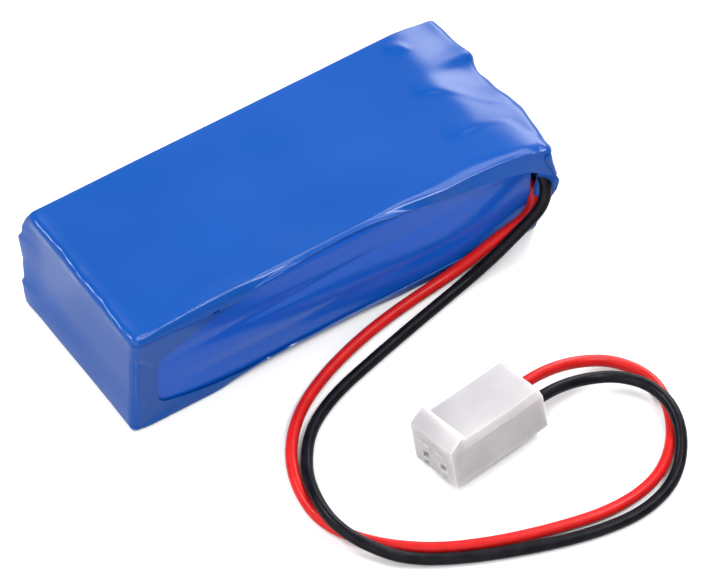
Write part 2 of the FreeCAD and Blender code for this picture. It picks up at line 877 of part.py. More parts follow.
def make_contact(colour):
    """A crimp contact: square receptacle, neck, conductor crimp and insulation crimp."""
    label = f"contact_{colour}"
    y = size("circuit_pitch") / 2 * CIRCUIT_SIDE[colour]
    z = size("circuit_height")
    half = size("contact_size") / 2
    wall = size("contact_wall")
    half_neck = size("contact_neck") / 2
    start = size("contact_start")
    receptacle_end = start + size("receptacle_length")
    crimp = size("barrel_start")
    crimp_end = crimp + size("barrel_length")
    lead_radius = size("lead_diameter") / 2
    strand_radius = size("strand_diameter") / 2
    grip = size("lead_seat") + size("barrel_inset")
    grip_end = grip + size("barrel_length")

    outside = box(
        f"{label}_receptacle",
        (start, receptacle_end),
        (y - half, y + half),
        (z - half, z + half),
    )
    inside = box(
        f"{label}_socket",
        (start - 1, receptacle_end + 0.01),
        (y - half + wall, y + half - wall),
        (z - half + wall, z + half - wall),
    )
    receptacle = cut(f"{label}_box", outside, inside)
    neck = box(
        f"{label}_neck",
        (receptacle_end - 0.1, grip_end),
        (y - half_neck, y + half_neck),
        (z - half, z - lead_radius),
    )
    rolled = strand_radius + size("crimp_wall")
    strand_grip = cut(
        f"{label}_strand_grip",
        cylinder_x(f"{label}_strand_sleeve", (crimp, crimp_end), y, z, rolled),
        cylinder_x(f"{label}_strand_bore", (crimp - 1, crimp_end + 1), y, z, strand_radius),
    )
    lead_grip = cut(
        f"{label}_lead_grip",
        cylinder_x(f"{label}_lead_sleeve", (grip, grip_end), y, z, lead_radius + wall),
        cylinder_x(f"{label}_lead_bore", (grip - 1, grip_end + 1), y, z, lead_radius),
    )
    keep(label, fuse(label, [receptacle, neck, strand_grip, lead_grip]), plug_place)

    strand_start = crimp - size("barrel_inset")
    strand = cylinder_x(
        f"crimped_strands_{colour}", (strand_start, size("lead_seat")), y, z, strand_radius
    )
    moved = group(f"crimped_{colour}", [strand])
    keep(f"crimped_strands_{colour}", moved, plug_place)


# ---------------------------------------------------------------- build, test and write

make_outer_sleeve()
make_inner_sleeve()
make_cells()
make_pads()
make_plates()
make_board()
make_components()
doc.recompute()
for colour in LEAD_ROUTES:
    make_board_end(colour, make_lead(colour))
    make_contact(colour)
make_housing()
doc.recompute()

for thing in doc.Objects:
    if "Invalid" in thing.State or "Error" in thing.State:
        raise RuntimeError(f"{thing.Label} failed: {thing.State}")

os.makedirs("parts", exist_ok=True)
for label, piece in pieces.items():
    if piece.Shape.isNull() or not piece.Shape.isValid():
        raise RuntimeError(f"{label} has no valid shape")
    piece.Shape.exportStep(f"parts/{label}.step")
print(len(pieces), "nodes written")
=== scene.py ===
import json
import math

import bmesh
import bpy
import numpy as np
from mathutils import Euler, Matrix, Vector


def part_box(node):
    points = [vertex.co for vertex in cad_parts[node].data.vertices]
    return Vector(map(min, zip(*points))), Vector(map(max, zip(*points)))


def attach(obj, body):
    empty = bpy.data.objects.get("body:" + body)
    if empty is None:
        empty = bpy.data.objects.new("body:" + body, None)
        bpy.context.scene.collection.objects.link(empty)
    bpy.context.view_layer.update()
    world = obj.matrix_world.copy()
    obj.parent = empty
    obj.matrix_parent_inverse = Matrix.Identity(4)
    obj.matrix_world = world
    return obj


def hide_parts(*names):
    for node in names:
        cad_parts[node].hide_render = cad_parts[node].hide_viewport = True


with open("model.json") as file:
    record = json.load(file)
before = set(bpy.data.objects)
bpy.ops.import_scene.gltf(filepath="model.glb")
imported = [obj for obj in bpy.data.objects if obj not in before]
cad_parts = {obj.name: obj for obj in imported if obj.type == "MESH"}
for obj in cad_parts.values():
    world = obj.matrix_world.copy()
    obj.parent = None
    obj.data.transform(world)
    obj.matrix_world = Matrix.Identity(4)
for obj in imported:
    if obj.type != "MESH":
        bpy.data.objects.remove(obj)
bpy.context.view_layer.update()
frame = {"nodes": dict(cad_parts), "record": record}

MM = 0.001
SCENE = bpy.context.scene

# Sizes below are in millimetres. X runs along the pack, Z is up, and the plug lies at -Y.
sleeve_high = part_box("outer_sleeve")[1]
HALF_LENGTH = sleeve_high.x / MM
HALF_WIDTH = sleeve_high.y / MM
HEIGHT = sleeve_high.z / MM

OUTER_FILM = 0.25
INNER_FILM = 0.2
LEAD_DIAMETER = 1.8


def degrees(*angles):
    """Angles given in degrees, in radians."""
    return tuple(math.radians(angle) for angle in angles)


# ---------------------------------------------------------------- materials


def shader(name, values):
    """A new node material, its node tree, and its Principled shader with those values."""
    made = bpy.data.materials.new(name)
    made.use_nodes = True
    tree = made.node_tree
    principled = tree.nodes["Principled BSDF"]
    for socket, value in values.items():
        principled.inputs[socket].default_value = value
    return made, tree, principled


def noise(tree, scale, detail=3.0, stretch=(1.0, 1.0, 1.0)):
    """A noise texture over the object's own coordinates, in metres, stretched along its axes."""
    where = tree.nodes.new("ShaderNodeTexCoord")
    mapping = tree.nodes.new("ShaderNodeMapping")
    mapping.inputs["Scale"].default_value = stretch
    texture = tree.nodes.new("ShaderNodeTexNoise")
    texture.inputs["Scale"].default_value = scale
    texture.inputs["Detail"].default_value = detail
    tree.links.new(where.outputs["Object"], mapping.inputs["Vector"])
    tree.links.new(mapping.outputs["Vector"], texture.inputs["Vector"])
    return texture.outputs["Fac"]


def ramp(tree, factor, stops):
    """A colour ramp: stops are (position, colour)."""
    node = tree.nodes.new("ShaderNodeValToRGB")
    elements = node.color_ramp.elements
    for element, (position, colour) in zip(elements, (stops[0], stops[-1])):
        element.position = position
        element.color = (*colour, 1.0)
    for position, colour in stops[1:-1]:
        elements.new(position).color = (*colour, 1.0)
    tree.links.new(factor, node.inputs["Fac"])
    return node.outputs["Color"]


def spread(tree, factor, low, high):
    """Maps a factor from 0.3-0.7, where noise mostly lies, to low-high."""
    node = tree.nodes.new("ShaderNodeMapRange")
    node.inputs["From Min"].default_value = 0.3
    node.inputs["From Max"].default_value = 0.7
    node.inputs["To Min"].default_value = low
    node.inputs["To Max"].default_value = high
    tree.links.new(factor, node.inputs["Value"])
    return node.outputs["Result"]


def add_bump(tree, principled, height, depth):
    """Bump of that depth, in metres, under the shader."""
    bump = tree.nodes.new("ShaderNodeBump")
    bump.inputs["Strength"].default_value = 1.0
    bump.inputs["Distance"].default_value = depth
    tree.links.new(height, bump.inputs["Height"])
    tree.links.new(bump.outputs["Normal"], principled.inputs["Normal"])


# Scale of the colour patches' noise, as a share of the relief's.
PATCH_SCALE = 0.35


def finish_material(
    name, dark, light, rough, scale, depth, stretch=(1.0, 1.0, 1.0), **sockets
):
    """A surface whose colour, roughness and relief vary with noise of that scale."""
    values = {socket.replace("_", " "): value for socket, value in sockets.items()}
    made, tree, principled = shader(name, values)
    patches = noise(tree, scale * PATCH_SCALE, 2.0, stretch)
    fine = noise(tree, scale, 4.0, stretch)
    colour = ramp(tree, patches, [(0.3, dark), (0.7, light)])
    tree.links.new(colour, principled.inputs["Base Color"])
    tree.links.new(spread(tree, fine, *rough), principled.inputs["Roughness"])
    add_bump(tree, principled, fine, depth)
    return made


# Colours are linear, and lie between the two given.
materials = {
    "sleeve_film": finish_material(
        "outer_film_blue", (0.002, 0.030, 0.146), (0.003, 0.035, 0.166), (0.14, 0.20), 90.0,
        0.000002, IOR=1.22,
    ),
    "inner_film": finish_material(
        "inner_film_blue", (0.001, 0.034, 0.212), (0.002, 0.046, 0.262), (0.14, 0.22), 90.0,
        0.000002, (0.25, 1.0, 1.0), IOR=1.22,
    ),
    "pouch_laminate": finish_material(
        "pouch_silver", (0.50, 0.50, 0.51), (0.62, 0.62, 0.63), (0.28, 0.42), 900.0, 0.00001,
        Metallic=0.85,
    ),
    "adhesive_foam": finish_material(
        "pad_grey", (0.26, 0.27, 0.28), (0.36, 0.37, 0.38), (0.85, 0.95), 3500.0, 0.00003
    ),
    "seal_film": finish_material(
        "seal_cream", (0.62, 0.60, 0.50), (0.72, 0.70, 0.60), (0.35, 0.5), 800.0, 0.000008
    ),
    "tab_aluminium": finish_material(
        "aluminium", (0.66, 0.67, 0.68), (0.76, 0.77, 0.78), (0.25, 0.4), 1800.0, 0.000006,
        (0.2, 1.0, 1.0), Metallic=1.0,
    ),
    "tab_nickel": finish_material(
        "nickel", (0.54, 0.52, 0.48), (0.64, 0.62, 0.58), (0.22, 0.38), 1800.0, 0.000006,
        (0.2, 1.0, 1.0), Metallic=1.0,
    ),
    "fibre_board": finish_material(
        "fibre_barley", (0.60, 0.52, 0.38), (0.70, 0.62, 0.47), (0.6, 0.8), 2200.0, 0.00002
    ),
    "board_laminate": finish_material(
        "board_green", (0.012, 0.085, 0.035), (0.018, 0.115, 0.05), (0.3, 0.42), 1600.0, 0.000008
    ),
    "chip_case": finish_material(
        "chip_black", (0.014, 0.014, 0.015), (0.024, 0.024, 0.026), (0.42, 0.6), 4000.0, 0.00001
    ),
    "chip_ceramic": finish_material(
        "ceramic_tan", (0.30, 0.22, 0.15), (0.40, 0.31, 0.22), (0.4, 0.6), 4000.0, 0.00001
    ),
    "solder": finish_material(
        "solder_grey", (0.55, 0.55, 0.56), (0.70, 0.70, 0.71), (0.2, 0.35), 2500.0, 0.00002,
        Metallic=1.0,
    ),
    "tinned_copper": finish_material(
        "tinned_strand", (0.60, 0.56, 0.50), (0.74, 0.70, 0.64), (0.25, 0.4), 3000.0, 0.00001,
        (1.0, 4.0, 4.0), Metallic=1.0,
    ),
    "contact_brass": finish_material(
        "contact_tinned_brass", (0.62, 0.50, 0.34), (0.76, 0.64, 0.46), (0.25, 0.38), 1500.0,
        0.000006, Metallic=1.0,
    ),
    "plug_nylon": finish_material(
        "natural_nylon", (0.29, 0.276, 0.285), (0.35, 0.336, 0.345), (0.42, 0.55), 420.0,
        0.000012, IOR=1.5, Subsurface_Weight=0.9, Subsurface_Radius=(1.0, 0.9, 0.95),
        Subsurface_Scale=0.003, Transmission_Weight=0.35,
    ),
    "lead_red_pvc": finish_material(
        "pvc_red", (0.25, 0.004, 0.004), (0.31, 0.006, 0.006), (0.26, 0.38), 1300.0, 0.00001,
        IOR=1.2,
    ),
    "lead_black_pvc": finish_material(
        "pvc_black", (0.001, 0.001, 0.002), (0.004, 0.004, 0.006), (0.26, 0.42), 1300.0, 0.000016,
        IOR=1.14,
    ),
}

for row in frame["record"]["subparts"]:
    cad_object = frame["nodes"][row["node"]]
    cad_object.data.materials.clear()
    cad_object.data.materials.append(materials[row["material_slot"]])


# ---------------------------------------------------------------- leads

# Points from inside the pack, out at the lead exit and on to the back of the plug.
ROUTE_BLACK = [
    (32.4, -4.6, 16.6), (32.6, -8.4, 15.9), (33.7, -11.8, 14.6), (34.9, -15.3, 12.9),
    (33.5, -17.2, 9.6), (29.4, -17.1, 6.3), (25.0, -17.0, 3.0), (19.0, -17.5, 0.9),
    (10.0, -19.6, 0.9), (0.5, -22.0, 0.9), (-7.5, -24.2, 0.9), (-14.0, -27.6, 0.9),
    (-18.4, -33.2, 1.2), (-20.8, -39.2, 2.8), (-21.3, -45.0, 3.1), (-19.1, -50.5, 2.6),
    (-15.0, -54.5, 1.1), (-8.5, -58.3, 0.9), (0.5, -62.0, 0.9), (9.5, -64.7, 0.9),
    (18.0, -65.6, 0.9), (25.0, -63.5, 1.1), (29.3, -59.0, 2.5), (31.4, -53.6, 3.0),
    (30.9, -48.3, 2.8), (27.9, -44.6, 2.8), (23.9, -42.9, 3.2), (19.3, -42.6, 4.4),
    (14.55, -43.16, 5.17), (9.58, -43.70, 5.00),
]
ROUTE_RED = [
    (32.4, -4.6, 12.2), (32.7, -8.4, 11.8), (33.8, -11.6, 9.7), (34.2, -13.9, 8.1),
    (32.2, -15.3, 5.9), (27.4, -15.1, 4.3), (22.6, -15.0, 2.1), (17.0, -15.2, 0.9),
    (9.0, -16.2, 0.9), (1.5, -17.7, 0.9), (-6.5, -20.3, 0.9), (-13.4, -23.9, 0.9),
    (-18.6, -29.2, 0.9), (-21.4, -35.6, 0.9), (-21.8, -42.4, 0.9), (-18.0, -48.9, 0.9),
    (-11.5, -54.5, 0.9), (-3.5, -58.3, 0.9), (5.5, -61.1, 0.9), (14.5, -62.9, 0.9),
    (22.5, -62.0, 0.9), (28.3, -58.0, 0.9), (32.0, -52.0, 0.9), (32.8, -46.0, 0.9),
    (29.7, -41.1, 1.4), (24.9, -39.0, 2.3), (19.6, -38.7, 3.7),
    (14.16, -39.31, 4.32), (9.19, -39.85, 4.15),
]


# Colour, route, where the lead leaves the film, and its whole length.
LEADS = (
    ("black", ROUTE_BLACK, (33.8, -14.1, 13.2), 180.8),
    ("red", ROUTE_RED, (33.4, -14.1, 9.3), 179.8),
)


def link(thing):
    SCENE.collection.objects.link(thing)
    return thing


def make_lead(colour, route, exit_point, length):
    """One insulated lead: an open NURBS spline through the air and over the floor."""
    curve = bpy.data.curves.new(f"lead_{colour}_skin", "CURVE")
    curve.dimensions = "3D"
    spline = curve.splines.new("NURBS")
    spline.points.add(len(route) - 1)
    for point, (x, y, z) in zip(spline.points, route):
        point.co = (x * MM, y * MM, z * MM, 1.0)
    spline.order_u = 3
    spline.use_endpoint_u = True
    spline.resolution_u = 12
    curve.bevel_depth = LEAD_DIAMETER * MM / 2
    curve.bevel_resolution = 8
    curve.use_fill_caps = True
    curve.materials.append(materials[f"lead_{colour}_pvc"])
    lead = link(bpy.data.objects.new(f"lead_{colour}_skin", curve))
    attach(lead, "root")
    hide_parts(f"lead_{colour}")


# ---------------------------------------------------------------- plug housing

PLUG_LENGTH = 17.0
PLUG_HALF_WIDTH = 4.63
PLUG_HEIGHT = 6.74
PLUG_CHAMFER = 0.8
PLUG_ROUNDING = 0.14
LEDGE_LENGTH = 2.66
LEDGE_HEIGHT = 1.7
LEDGE_ROOT = 1.2
CIRCUITS = (-1.98, 1.98)
CAVITY = (2.9, 3.3)
CAVITY_MIDDLE = 3.2
MOUTH = (1.5, 1.4)
MOUTH_MIDDLE = 2.1
MOUTH_DEPTH = 1.0
FACE_THICKNESS = 0.8
# Ribs of the mating face: across and up, from the middle of the circuit and the plug's foot.
RIBS = (((-1.2, 1.2), (4.3, 4.65)), ((-1.2, -0.85), (3.4, 4.4)))
RIB_HEIGHT = 0.18
RIB_ROOT = 0.2
NOTCH = (1.2, 1.1)
NOTCH_DEPTH = 1.6
# How far a cutting tool runs past the face that it starts from.
PAST_FACE = 1.0
PLUG_PLACE = Matrix.LocRotScale(
    Vector((-2.95, -43.81, 1.01)), Euler(degrees(-12.4, -2.0, 6.2)), None
)


def mesh_object(name, mesh, slot, smooth_angle):
    """Links a mesh as a piece on the root body, with its slot's material and those creases."""
    mesh.materials.clear()
    mesh.materials.append(materials[slot])
    for face in mesh.polygons:
        face.use_smooth = True
    mesh.set_sharp_from_angle(angle=math.radians(smooth_angle))
    piece = link(bpy.data.objects.new(name, mesh))
    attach(piece, "root")
    return piece


def prism(name, outline, axis_range, axis):
    """A closed prism: outline in the two other axes, in order, swept over axis_range."""
    work = bmesh.new()
    rings = []
    for along in axis_range:
        ring = []
        for a, b in outline:
            place = {"x": (along, a, b), "y": (a, along, b)}[axis]
            ring.append(work.verts.new(place))
        rings.append(ring)
    first, last = rings
    work.faces.new(first)
    work.faces.new(last)
    count = len(outline)
    for k in range(count):
        after = (k + 1) % count
        work.faces.new((first[k], first[after], last[after], last[k]))
    bmesh.ops.recalc_face_normals(work, faces=work.faces)
    mesh = bpy.data.meshes.new(name)
    work.to_mesh(mesh)
    work.free()
    return link(bpy.data.objects.new(name, mesh))


def box_outline(a, b):
    """A rectangle, from its two ranges."""
    return [(a[0], b[0]), (a[1], b[0]), (a[1], b[1]), (a[0], b[1])]


def apply_modifiers(thing):
    """Replaces an object's mesh by what its modifiers give, and drops them."""
    bpy.context.view_layer.update()
    graph = bpy.context.evaluated_depsgraph_get()
    mesh = bpy.data.meshes.new_from_object(thing.evaluated_get(graph))
    thing.modifiers.clear()
    thing.data = mesh
    return mesh


def combine(base, tool, operation):
    """Joins a tool to the base or cuts it from the base, and uses the tool up."""
    step = base.modifiers.new("combine", "BOOLEAN")
    step.operation = operation
    step.solver = "EXACT"
    step.object = tool
    apply_modifiers(base)
    bpy.data.objects.remove(tool)


def around(middle, size):
    """A range of that size about its middle."""
    return (middle - size / 2, middle + size / 2)


def make_circuit(shell, middle):
    """The cavity of one circuit, its mouth and ribs in the mating face, and its notch below."""

    def shape(name, across, up, along, operation):
        combine(shell, prism(name, box_outline(across, up), along, "x"), operation)

    bore_up = around(CAVITY_MIDDLE, CAVITY[1])
    bore_along = (FACE_THICKNESS, PLUG_LENGTH + PAST_FACE)
    shape("cavity", around(middle, CAVITY[0]), bore_up, bore_along, "DIFFERENCE")
    mouth_up = around(MOUTH_MIDDLE, MOUTH[1])
    shape("mouth", around(middle, MOUTH[0]), mouth_up, (-PAST_FACE, MOUTH_DEPTH), "DIFFERENCE")
    for across, up in RIBS:
        rib_across = (middle + across[0], middle + across[1])
        shape("rib", rib_across, up, (-RIB_HEIGHT, RIB_ROOT), "UNION")
    notch_up = (-PAST_FACE, NOTCH[1])
    shape("notch", around(middle, NOTCH[0]), notch_up, (-PAST_FACE, NOTCH_DEPTH), "DIFFERENCE")


def make_plug():
    """The nylon housing: chamfered top edge, ramped ledge, and what each circuit needs."""
    top, half = PLUG_HEIGHT, PLUG_HALF_WIDTH
    section = [
        (half, 0.0), (half, top), (-half + PLUG_CHAMFER, top), (-half, top - PLUG_CHAMFER),
        (-half, 0.0),
    ]
    shell = prism("plug_body", section, (0.0, PLUG_LENGTH), "x")
    ledge_side = [
        (0.0, top - LEDGE_ROOT), (0.0, top), (LEDGE_LENGTH, top + LEDGE_HEIGHT),
        (LEDGE_LENGTH, top - LEDGE_ROOT),
    ]
    combine(shell, prism("ledge", ledge_side, (-half, half), "y"), "UNION")
    for middle in CIRCUITS:
        make_circuit(shell, middle)
    rounding = shell.modifiers.new("rounding", "BEVEL")
    rounding.width = PLUG_ROUNDING
    rounding.segments = 3
    rounding.limit_method = "ANGLE"
    rounding.angle_limit = math.radians(35)
    mesh = apply_modifiers(shell)
    bpy.data.objects.remove(shell)
    mesh.transform(Matrix.Scale(MM, 4) @ PLUG_PLACE)
    piece = mesh_object("connector_shell", mesh, "plug_nylon", 35)
    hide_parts("connector_housing")


# ---------------------------------------------------------------- film


def smooth(value, low, high):
    """0 below low, 1 above high, and a smooth step between."""
    t = np.clip((value - low) / (high - low), 0.0, 1.0)
    return t * t * (3.0 - 2.0 * t)


def bell(value, middle, width):
    """1 at the middle, dying away on both sides within about that width."""
    return np.exp(-(((value - middle) / width) ** 2))


def table(value, rows):
    """Reads a two-column table, straight between its rows."""
    xs, ys = zip(*sorted(rows))
    return np.interp(value, xs, ys)


def soft_table(value, rows, reach=0.8):
    """The same reading, with the corners of the table rounded off."""
    offsets = np.linspace(-2.0, 2.0, 9)
    weights = np.exp(-(offsets**2))
    total = sum(w * table(value + d * reach, rows) for d, w in zip(offsets, weights))
    return total / weights.sum()


def waves(seed, place, size, count=7):
    """Gentle seeded unevenness, about -1 to 1, with features of that size in millimetres."""
    draw = np.random.default_rng(seed)
    total = np.zeros(place.shape[:-1])
    for _ in range(count):
        direction = draw.normal(size=3)
        direction /= np.linalg.norm(direction)
        turns = 2.0 * math.pi / (size * draw.uniform(0.7, 1.5))
        total += np.sin(place @ direction * turns + draw.uniform(0.0, 2.0 * math.pi))
    return total / math.sqrt(count)


def distance_to_line(px, py, line):
    """Distance from points to a polyline, how far along it that is (0 to 1), and which side."""
    line = np.array(line, float)
    lengths = np.hypot(*np.diff(line, axis=0).T)
    before = np.concatenate([[0.0], np.cumsum(lengths)])
    best = np.full(px.shape, np.inf)
    along = np.zeros(px.shape)
    side = np.zeros(px.shape)
    for k, (a, b) in enumerate(zip(line[:-1], line[1:])):
        d = b - a
        t = np.clip(((px - a[0]) * d[0] + (py - a[1]) * d[1]) / (d @ d), 0.0, 1.0)
        qx, qy = px - a[0] - t * d[0], py - a[1] - t * d[1]
        gap = np.hypot(qx, qy)
        closer = gap < best
        best = np.where(closer, gap, best)
        along = np.where(closer, (before[k] + t * lengths[k]) / before[-1], along)
        side = np.where(closer, np.sign(d[0] * qy - d[1] * qx), side)
    return best, along, side


def fold(px, py, line, height, left, right):
    """A fold along a line: a crest that dies away within those widths on its left and right."""
    gap, along, side = distance_to_line(px, py, line)
    ends = np.clip(4.0 * along * (1.0 - along) * 1.6, 0.0, 1.0)
    width = np.where(side > 0, left, right)
    return height * ends * np.exp(-((gap / width) ** 2))


def beyond(px, py, line, reach):
    """1 on the left of a line, falling to 0 within about that reach on its right."""
    gap, _, side = distance_to_line(px, py, line)
    return np.where(side >= 0, 1.0, np.exp(-gap / reach))


# The ring of the outer film, seen along Y, runs round its bottom, -X end, top and +X end. These
# are the radii of the corners that the four sides end in.
CORNERS = (0.8, 1.3, 1.3, 1.15)
NEAR_EDGE_RADIUS = 1.6
FAR_EDGE_RADIUS = 0.45
FLAT_STEP = 0.5
CORNER_STEPS = 9
# Share of a side's parameter that half a corner takes.
HALF_CORNER = 0.06
# Stands for the corner radius where the ring is flat.
NO_CORNER = 9.0


def ring():
    """Points (x, z), outward normals, window parameter and corner radius, all in order."""
    first, second, third, fourth = CORNERS
    centres = [
        (np.array([first - HALF_LENGTH, first]), math.radians(270), first),
        (np.array([second - HALF_LENGTH, HEIGHT - second]), math.radians(180), second),
        (np.array([HALF_LENGTH - third, HEIGHT - third]), math.radians(90), third),
        (np.array([HALF_LENGTH - fourth, fourth]), math.radians(0), fourth),
    ]
    points, normals, turn, radii = [], [], [], []
    for side, (centre, heading, radius) in enumerate(centres):
        last_centre, _, last_radius = centres[side - 1]
        flat_normal = np.array([math.cos(heading), math.sin(heading)])
        start = last_centre + flat_normal * last_radius
        end = centre + flat_normal * radius
        count = int(np.linalg.norm(end - start) / FLAT_STEP)
        for k in range(count):
            share = k / count
            points.append(start + (end - start) * share)
            normals.append(flat_normal)
            turn.append(side - 1 + HALF_CORNER + (1.0 - 2.0 * HALF_CORNER) * share)
            radii.append(NO_CORNER)
        for k in range(CORNER_STEPS):
            share = k / CORNER_STEPS
            angle = heading - math.radians(90) * share
            normal = np.array([math.cos(angle), math.sin(angle)])
            points.append(centre + normal * radius)
            normals.append(normal)
            turn.append(side - HALF_CORNER + 2.0 * HALF_CORNER * share)
            radii.append(radius)
    return np.array(points), np.array(normals), np.array(turn), np.array(radii)


def edge_radii(wanted, radii):
    """The rounding between the ring and the side, no larger than the ring's own corners."""
    limit = np.minimum(wanted, 0.95 * radii)
    reach = 6
    soft = sum(np.roll(limit, k) for k in range(-reach, reach + 1)) / (2.0 * reach + 1.0)
    return np.minimum(soft, limit)


def resample(line, count):
    """That many points at equal distances along a polyline."""
    line = np.array(line, float)
    lengths = np.linalg.norm(np.diff(line, axis=0), axis=1)
    before = np.concatenate([[0.0], np.cumsum(lengths)])
    at = np.linspace(0.0, before[-1], count)
    return np.stack([np.interp(at, before, line[:, k]) for k in range(line.shape[1])], axis=1)


WINDOW_STEPS = 200
WINDOW_SOFTNESS = 9


def window_ring(sides, turn):
    """The film's free edge (x, y, z), read at the ring's parameter: side number plus 0 to 1."""
    whole = np.concatenate([resample(side, WINDOW_STEPS + 1)[:-1] for side in sides])
    weights = np.exp(-np.linspace(-2, 2, 2 * WINDOW_SOFTNESS + 1) ** 2)
    weights /= weights.sum()
    soft = np.zeros_like(whole)
    for k, weight in zip(range(-WINDOW_SOFTNESS, WINDOW_SOFTNESS + 1), weights):
        soft += weight * np.roll(whole, k, axis=0)
    at = (turn % 4.0) * WINDOW_STEPS
    low = np.floor(at).astype(int)
    part = (at - low)[:, None]
    count = 4 * WINDOW_STEPS
    return soft[low % count] * (1 - part) + soft[(low + 1) % count] * part


# Free edge of the outer film on the near side, where the leads come out: -X side, top, +X side,
# bottom, each as (x, y, z) in millimetres.
NEAR_EDGE = [
    [
        (-30.2, -14.1, 3.9), (-31.2, -14.1, 5.4), (-31.4, -14.1, 9.5), (-31.2, -14.1, 12.9),
        (-30.4, -14.1, 14.3),
    ],
    [
        (-30.4, -14.1, 14.3), (-25.1, -14.12, 16.2), (-19.5, -14.14, 18.3), (-14.6, -14.12, 19.4),
        (-9.5, -14.0, 20.0), (-6.0, -13.75, 20.3), (0.0, -13.6, 20.42), (5.5, -13.7, 20.36),
        (9.5, -14.0, 19.9), (13.0, -14.2, 19.3), (17.2, -14.4, 18.6), (21.4, -14.8, 18.3),
        (25.6, -15.1, 17.8), (30.9, -15.6, 17.0), (32.2, -15.7, 16.5), (34.0, -16.1, 15.0),
        (35.6, -16.6, 14.2),
    ],
    [
        (35.6, -16.6, 14.2), (36.2, -16.8, 13.2), (36.1, -16.4, 11.0), (35.7, -15.6, 8.4),
        (35.2, -14.7, 5.5), (34.6, -14.1, 3.0),
    ],
    [
        (34.6, -14.1, 3.0), (33.0, -14.15, 2.0), (13.1, -14.2, 1.9), (1.8, -14.25, 2.0),
        (-8.6, -14.25, 1.9), (-13.8, -14.3, 1.7), (-18.4, -14.3, 1.9), (-21.8, -14.3, 2.2),
        (-26.1, -14.2, 2.8), (-30.2, -14.1, 3.9),
    ],
]
# The same on the far side, which has a plain window.
FAR_EDGE = [
    [(-30.6, 14.1, 3.4), (-31.4, 14.1, 5.4), (-31.2, 14.1, 11.0), (-30.8, 14.1, 14.8)],
    [
        (-30.8, 14.1, 14.8), (-24.0, 14.1, 16.9), (-10.0, 14.12, 18.4), (8.0, 14.12, 18.7),
        (22.0, 14.1, 17.0), (32.6, 14.1, 14.2),
    ],
    [(32.6, 14.1, 14.2), (33.4, 14.1, 11.0), (33.2, 14.1, 6.0), (32.4, 14.1, 3.4)],
    [
        (32.4, 14.1, 3.4), (20.0, 14.1, 2.3), (0.0, 14.1, 2.0), (-20.0, 14.1, 2.4),
        (-30.6, 14.1, 3.4),
    ],
]

# The +X end's top edge: how far it stands out past the box, and its height, against y.
END_REACH = [
    (-17.0, 0.5), (-14.5, 0.55), (-12.0, 0.8), (-8.5, 1.35), (-5.7, 1.4), (-2.6, 0.95),
    (0.6, 0.45), (3.0, 0.35), (4.9, 0.5), (5.9, 1.1), (6.8, 1.1), (8.8, 0.7),
    (11.5, 0.2), (14.1, -0.25), (15.5, -0.3),
]
# How far the top falls at the +X end, against y: beyond the first fold, and beside the lip.
FAR_FALL = [
    (-6.0, 1.1), (-3.0, 1.3), (0.0, 1.6), (3.0, 1.7), (4.9, 1.5), (5.9, 0.9), (6.6, 1.0),
    (8.8, 1.4), (11.5, 1.5), (14.1, 1.2), (15.5, 1.1),
]
# Between the two folds it falls evenly.
MIDDLE_FALL = 0.95
NEAR_FALL = [(-17.0, 0.8), (-14.5, 0.5), (-12.0, 0.2), (-8.0, 0.35)]
# Lines of the folds in the top near the +X end, seen from above.
FIRST_FOLD = [
    (23.5, 3.6), (25.4, 2.9), (27.3, 1.9), (28.8, 0.9), (30.2, -0.2), (31.2, -1.5),
    (32.5, -3.3), (34.6, -5.6),
]
SECOND_FOLD = [
    (23.0, -6.2), (26.1, -6.3), (27.7, -6.3), (29.7, -6.6), (31.1, -7.0), (32.1, -7.9),
    (33.1, -10.5), (35.0, -12.5),
]
CRESCENT = [(24.8, 12.1), (26.5, 12.1), (27.4, 11.4), (27.9, 10.2)]

# Folds there: line, height of the crest, and width on its left and right.
END_FOLDS = (
    (FIRST_FOLD, 0.2, 2.2, 0.7),
    (SECOND_FOLD, 0.16, 2.2, 0.8),
    (CRESCENT, 0.16, 0.5, 0.9),
)
# Long thin wrinkles beside the near top edge: line, height and width.
WRINKLES = (
    ([(-34.0, -13.7), (-29.7, -13.3), (-25.6, -13.1), (-21.7, -12.9), (-13.5, -13.1)], 0.2, 0.38),
    ([(-26.5, -12.3), (-21.0, -12.1), (-15.0, -12.5)], 0.12, 0.34),
    ([(-22.5, -11.4), (-18.0, -11.5), (-14.5, -11.8)], 0.06, 0.4),
    ([(12.0, -13.4), (21.9, -13.3), (28.0, -13.1), (33.5, -13.6)], 0.12, 0.3),
)

# How far the film stands out of the far -X edge, against height.
FLARE = [
    (0.0, 0.3), (3.8, 0.9), (4.8, 1.2), (5.7, 0.9), (8.6, 1.3), (9.8, 1.2), (11.0, 1.4),
    (14.5, 1.9), (15.8, 1.3), (17.0, 1.2), (18.8, 0.5), (19.6, 0.1), (20.4, 0.0),
]


def end_fall(x, y):
    """How far the top has fallen there: it falls towards the +X end, in an uneven slope."""
    far_part = soft_table(y, FAR_FALL) * smooth(x, 26.6, 35.4)
    middle_part = MIDDLE_FALL * smooth(x, 27.6, 35.6)
    near_part = soft_table(y, NEAR_FALL) * smooth(x, 31.5, 35.4)
    fall = near_part + (middle_part - near_part) * beyond(x, y, SECOND_FOLD, 1.5)
    return fall + (far_part - fall) * beyond(x, y, FIRST_FOLD, 1.2)


# Places along the pack, in both directions from its middle, between which an effect grows.
END_FACE = (34.0, 35.2)
LIP_GROWS = (27.5, 33.5)
RIDGE_GROWS = (9.0, 20.0)
RIDGE_SINKS = (29.0, 34.5)
# How far the film moves in each feature. Pairs are along X and along Y.
BEAD = 0.34
LIP = 0.75
PINCH = (0.12, 0.16)
GATHER = 0.16
SIDE_SWELL = 0.3
TURNED_UNDER = 0.6
FAR_OVERHANG = 0.42
UNEVEN_TOP = 0.035
UNEVEN_END = 0.03
PINCH_HEIGHT = 15.2
